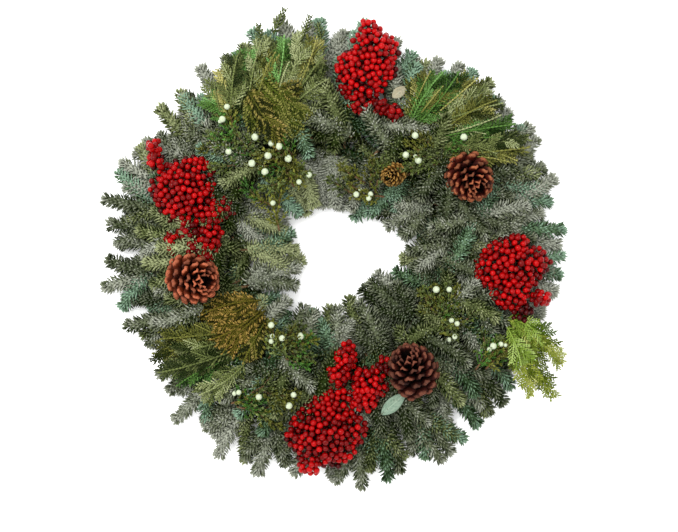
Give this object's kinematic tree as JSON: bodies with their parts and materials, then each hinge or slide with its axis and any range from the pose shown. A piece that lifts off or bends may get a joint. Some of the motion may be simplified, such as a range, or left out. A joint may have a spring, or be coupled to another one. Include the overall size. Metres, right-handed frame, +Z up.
{
  "type": "evergreen wreath",
  "caption": "Round evergreen wreath of fir bundles bound on a wire frame, trimmed with cedar, juniper, red berries and pine cones, open in the middle.",
  "frame": {"origin": "middle of the wreath's box, on the surface that it lies on", "axes": "+Z up through the face of the wreath, +Y towards the cluster of red berries at its top, +X to the right as the face is looked at"},
  "size_m": [0.6082, 0.624, 0.104],
  "materials": {
    "fir_foliage": "blunt waxy fir needles, blue-green with pale undersides",
    "cedar_foliage": "flat sprays of soft yellow-green scale leaves",
    "golden_cedar_foliage": "flat scale-leaf sprays with golden-brown tips",
    "juniper_foliage": "fine prickly needles with pale waxy berries among them",
    "red_berry_skin": "smooth glossy red berry skin",
    "pine_cone_scales": "dry matt scales, red-brown with paler rims",
    "leaf_blade": "smooth waxy pale green leaf",
    "frame_wire": "dark green painted steel wire",
    "florist_wire": "thin green enamelled wire"
  },
  "bodies": {
    "root": {"binding_wire": "florist_wire", "broad_leaf_lower": "leaf_blade", "broad_leaf_top": "leaf_blade", "cedar_spray_lower_left_golden": "golden_cedar_foliage", "cedar_spray_lower_left_green": "cedar_foliage", "cedar_spray_right": "cedar_foliage", "cedar_spray_top_left_golden": "golden_cedar_foliage", "cedar_spray_top_left_inner": "cedar_foliage", "cedar_spray_top_left_outer": "cedar_foliage", "cedar_spray_top_right_inner": "cedar_foliage", "cedar_spray_top_right_outer": "cedar_foliage", "cone_wire_left": "florist_wire", "cone_wire_lower": "florist_wire", "cone_wire_upper_right": "florist_wire", "fir_bundle_01": "fir_foliage", "fir_bundle_02": "fir_foliage", "fir_bundle_03": "fir_foliage", "fir_bundle_04": "fir_foliage", "fir_bundle_05": "fir_foliage", "fir_bundle_06": "fir_foliage", "fir_bundle_07": "fir_foliage", "fir_bundle_08": "fir_foliage", "fir_bundle_09": "fir_foliage", "fir_bundle_10": "fir_foliage", "fir_bundle_11": "fir_foliage", "fir_bundle_12": "fir_foliage", "fir_bundle_13": "fir_foliage", "fir_bundle_14": "fir_foliage", "fir_bundle_15": "fir_foliage", "fir_bundle_16": "fir_foliage", "juniper_sprig_bottom_left": "juniper_foliage", "juniper_sprig_left_inner": "juniper_foliage", "juniper_sprig_lower_left_inner": "juniper_foliage", "juniper_sprig_right": "juniper_foliage", "juniper_sprig_right_outer": "juniper_foliage", "juniper_sprig_top_inner": "juniper_foliage", "juniper_sprig_upper_left_inner": "juniper_foliage", "juniper_sprig_upper_left_outer": "juniper_foliage", "juniper_sprig_upper_right": "juniper_foliage", "pine_cone_left": "pine_cone_scales", "pine_cone_lower": "pine_cone_scales", "pine_cone_small": "pine_cone_scales", "pine_cone_upper_right": "pine_cone_scales", "red_berries_bottom_inner": "red_berry_skin", "red_berries_bottom_outer": "red_berry_skin", "red_berries_bottom_right": "red_berry_skin", "red_berries_left": "red_berry_skin", "red_berries_left_lower": "red_berry_skin", "red_berries_left_outer": "red_berry_skin", "red_berries_right": "red_berry_skin", "red_berries_right_tip": "red_berry_skin", "red_berries_top": "red_berry_skin", "red_berries_top_tail": "red_berry_skin", "wire_frame": "frame_wire"}
  },
  "joints": []
}
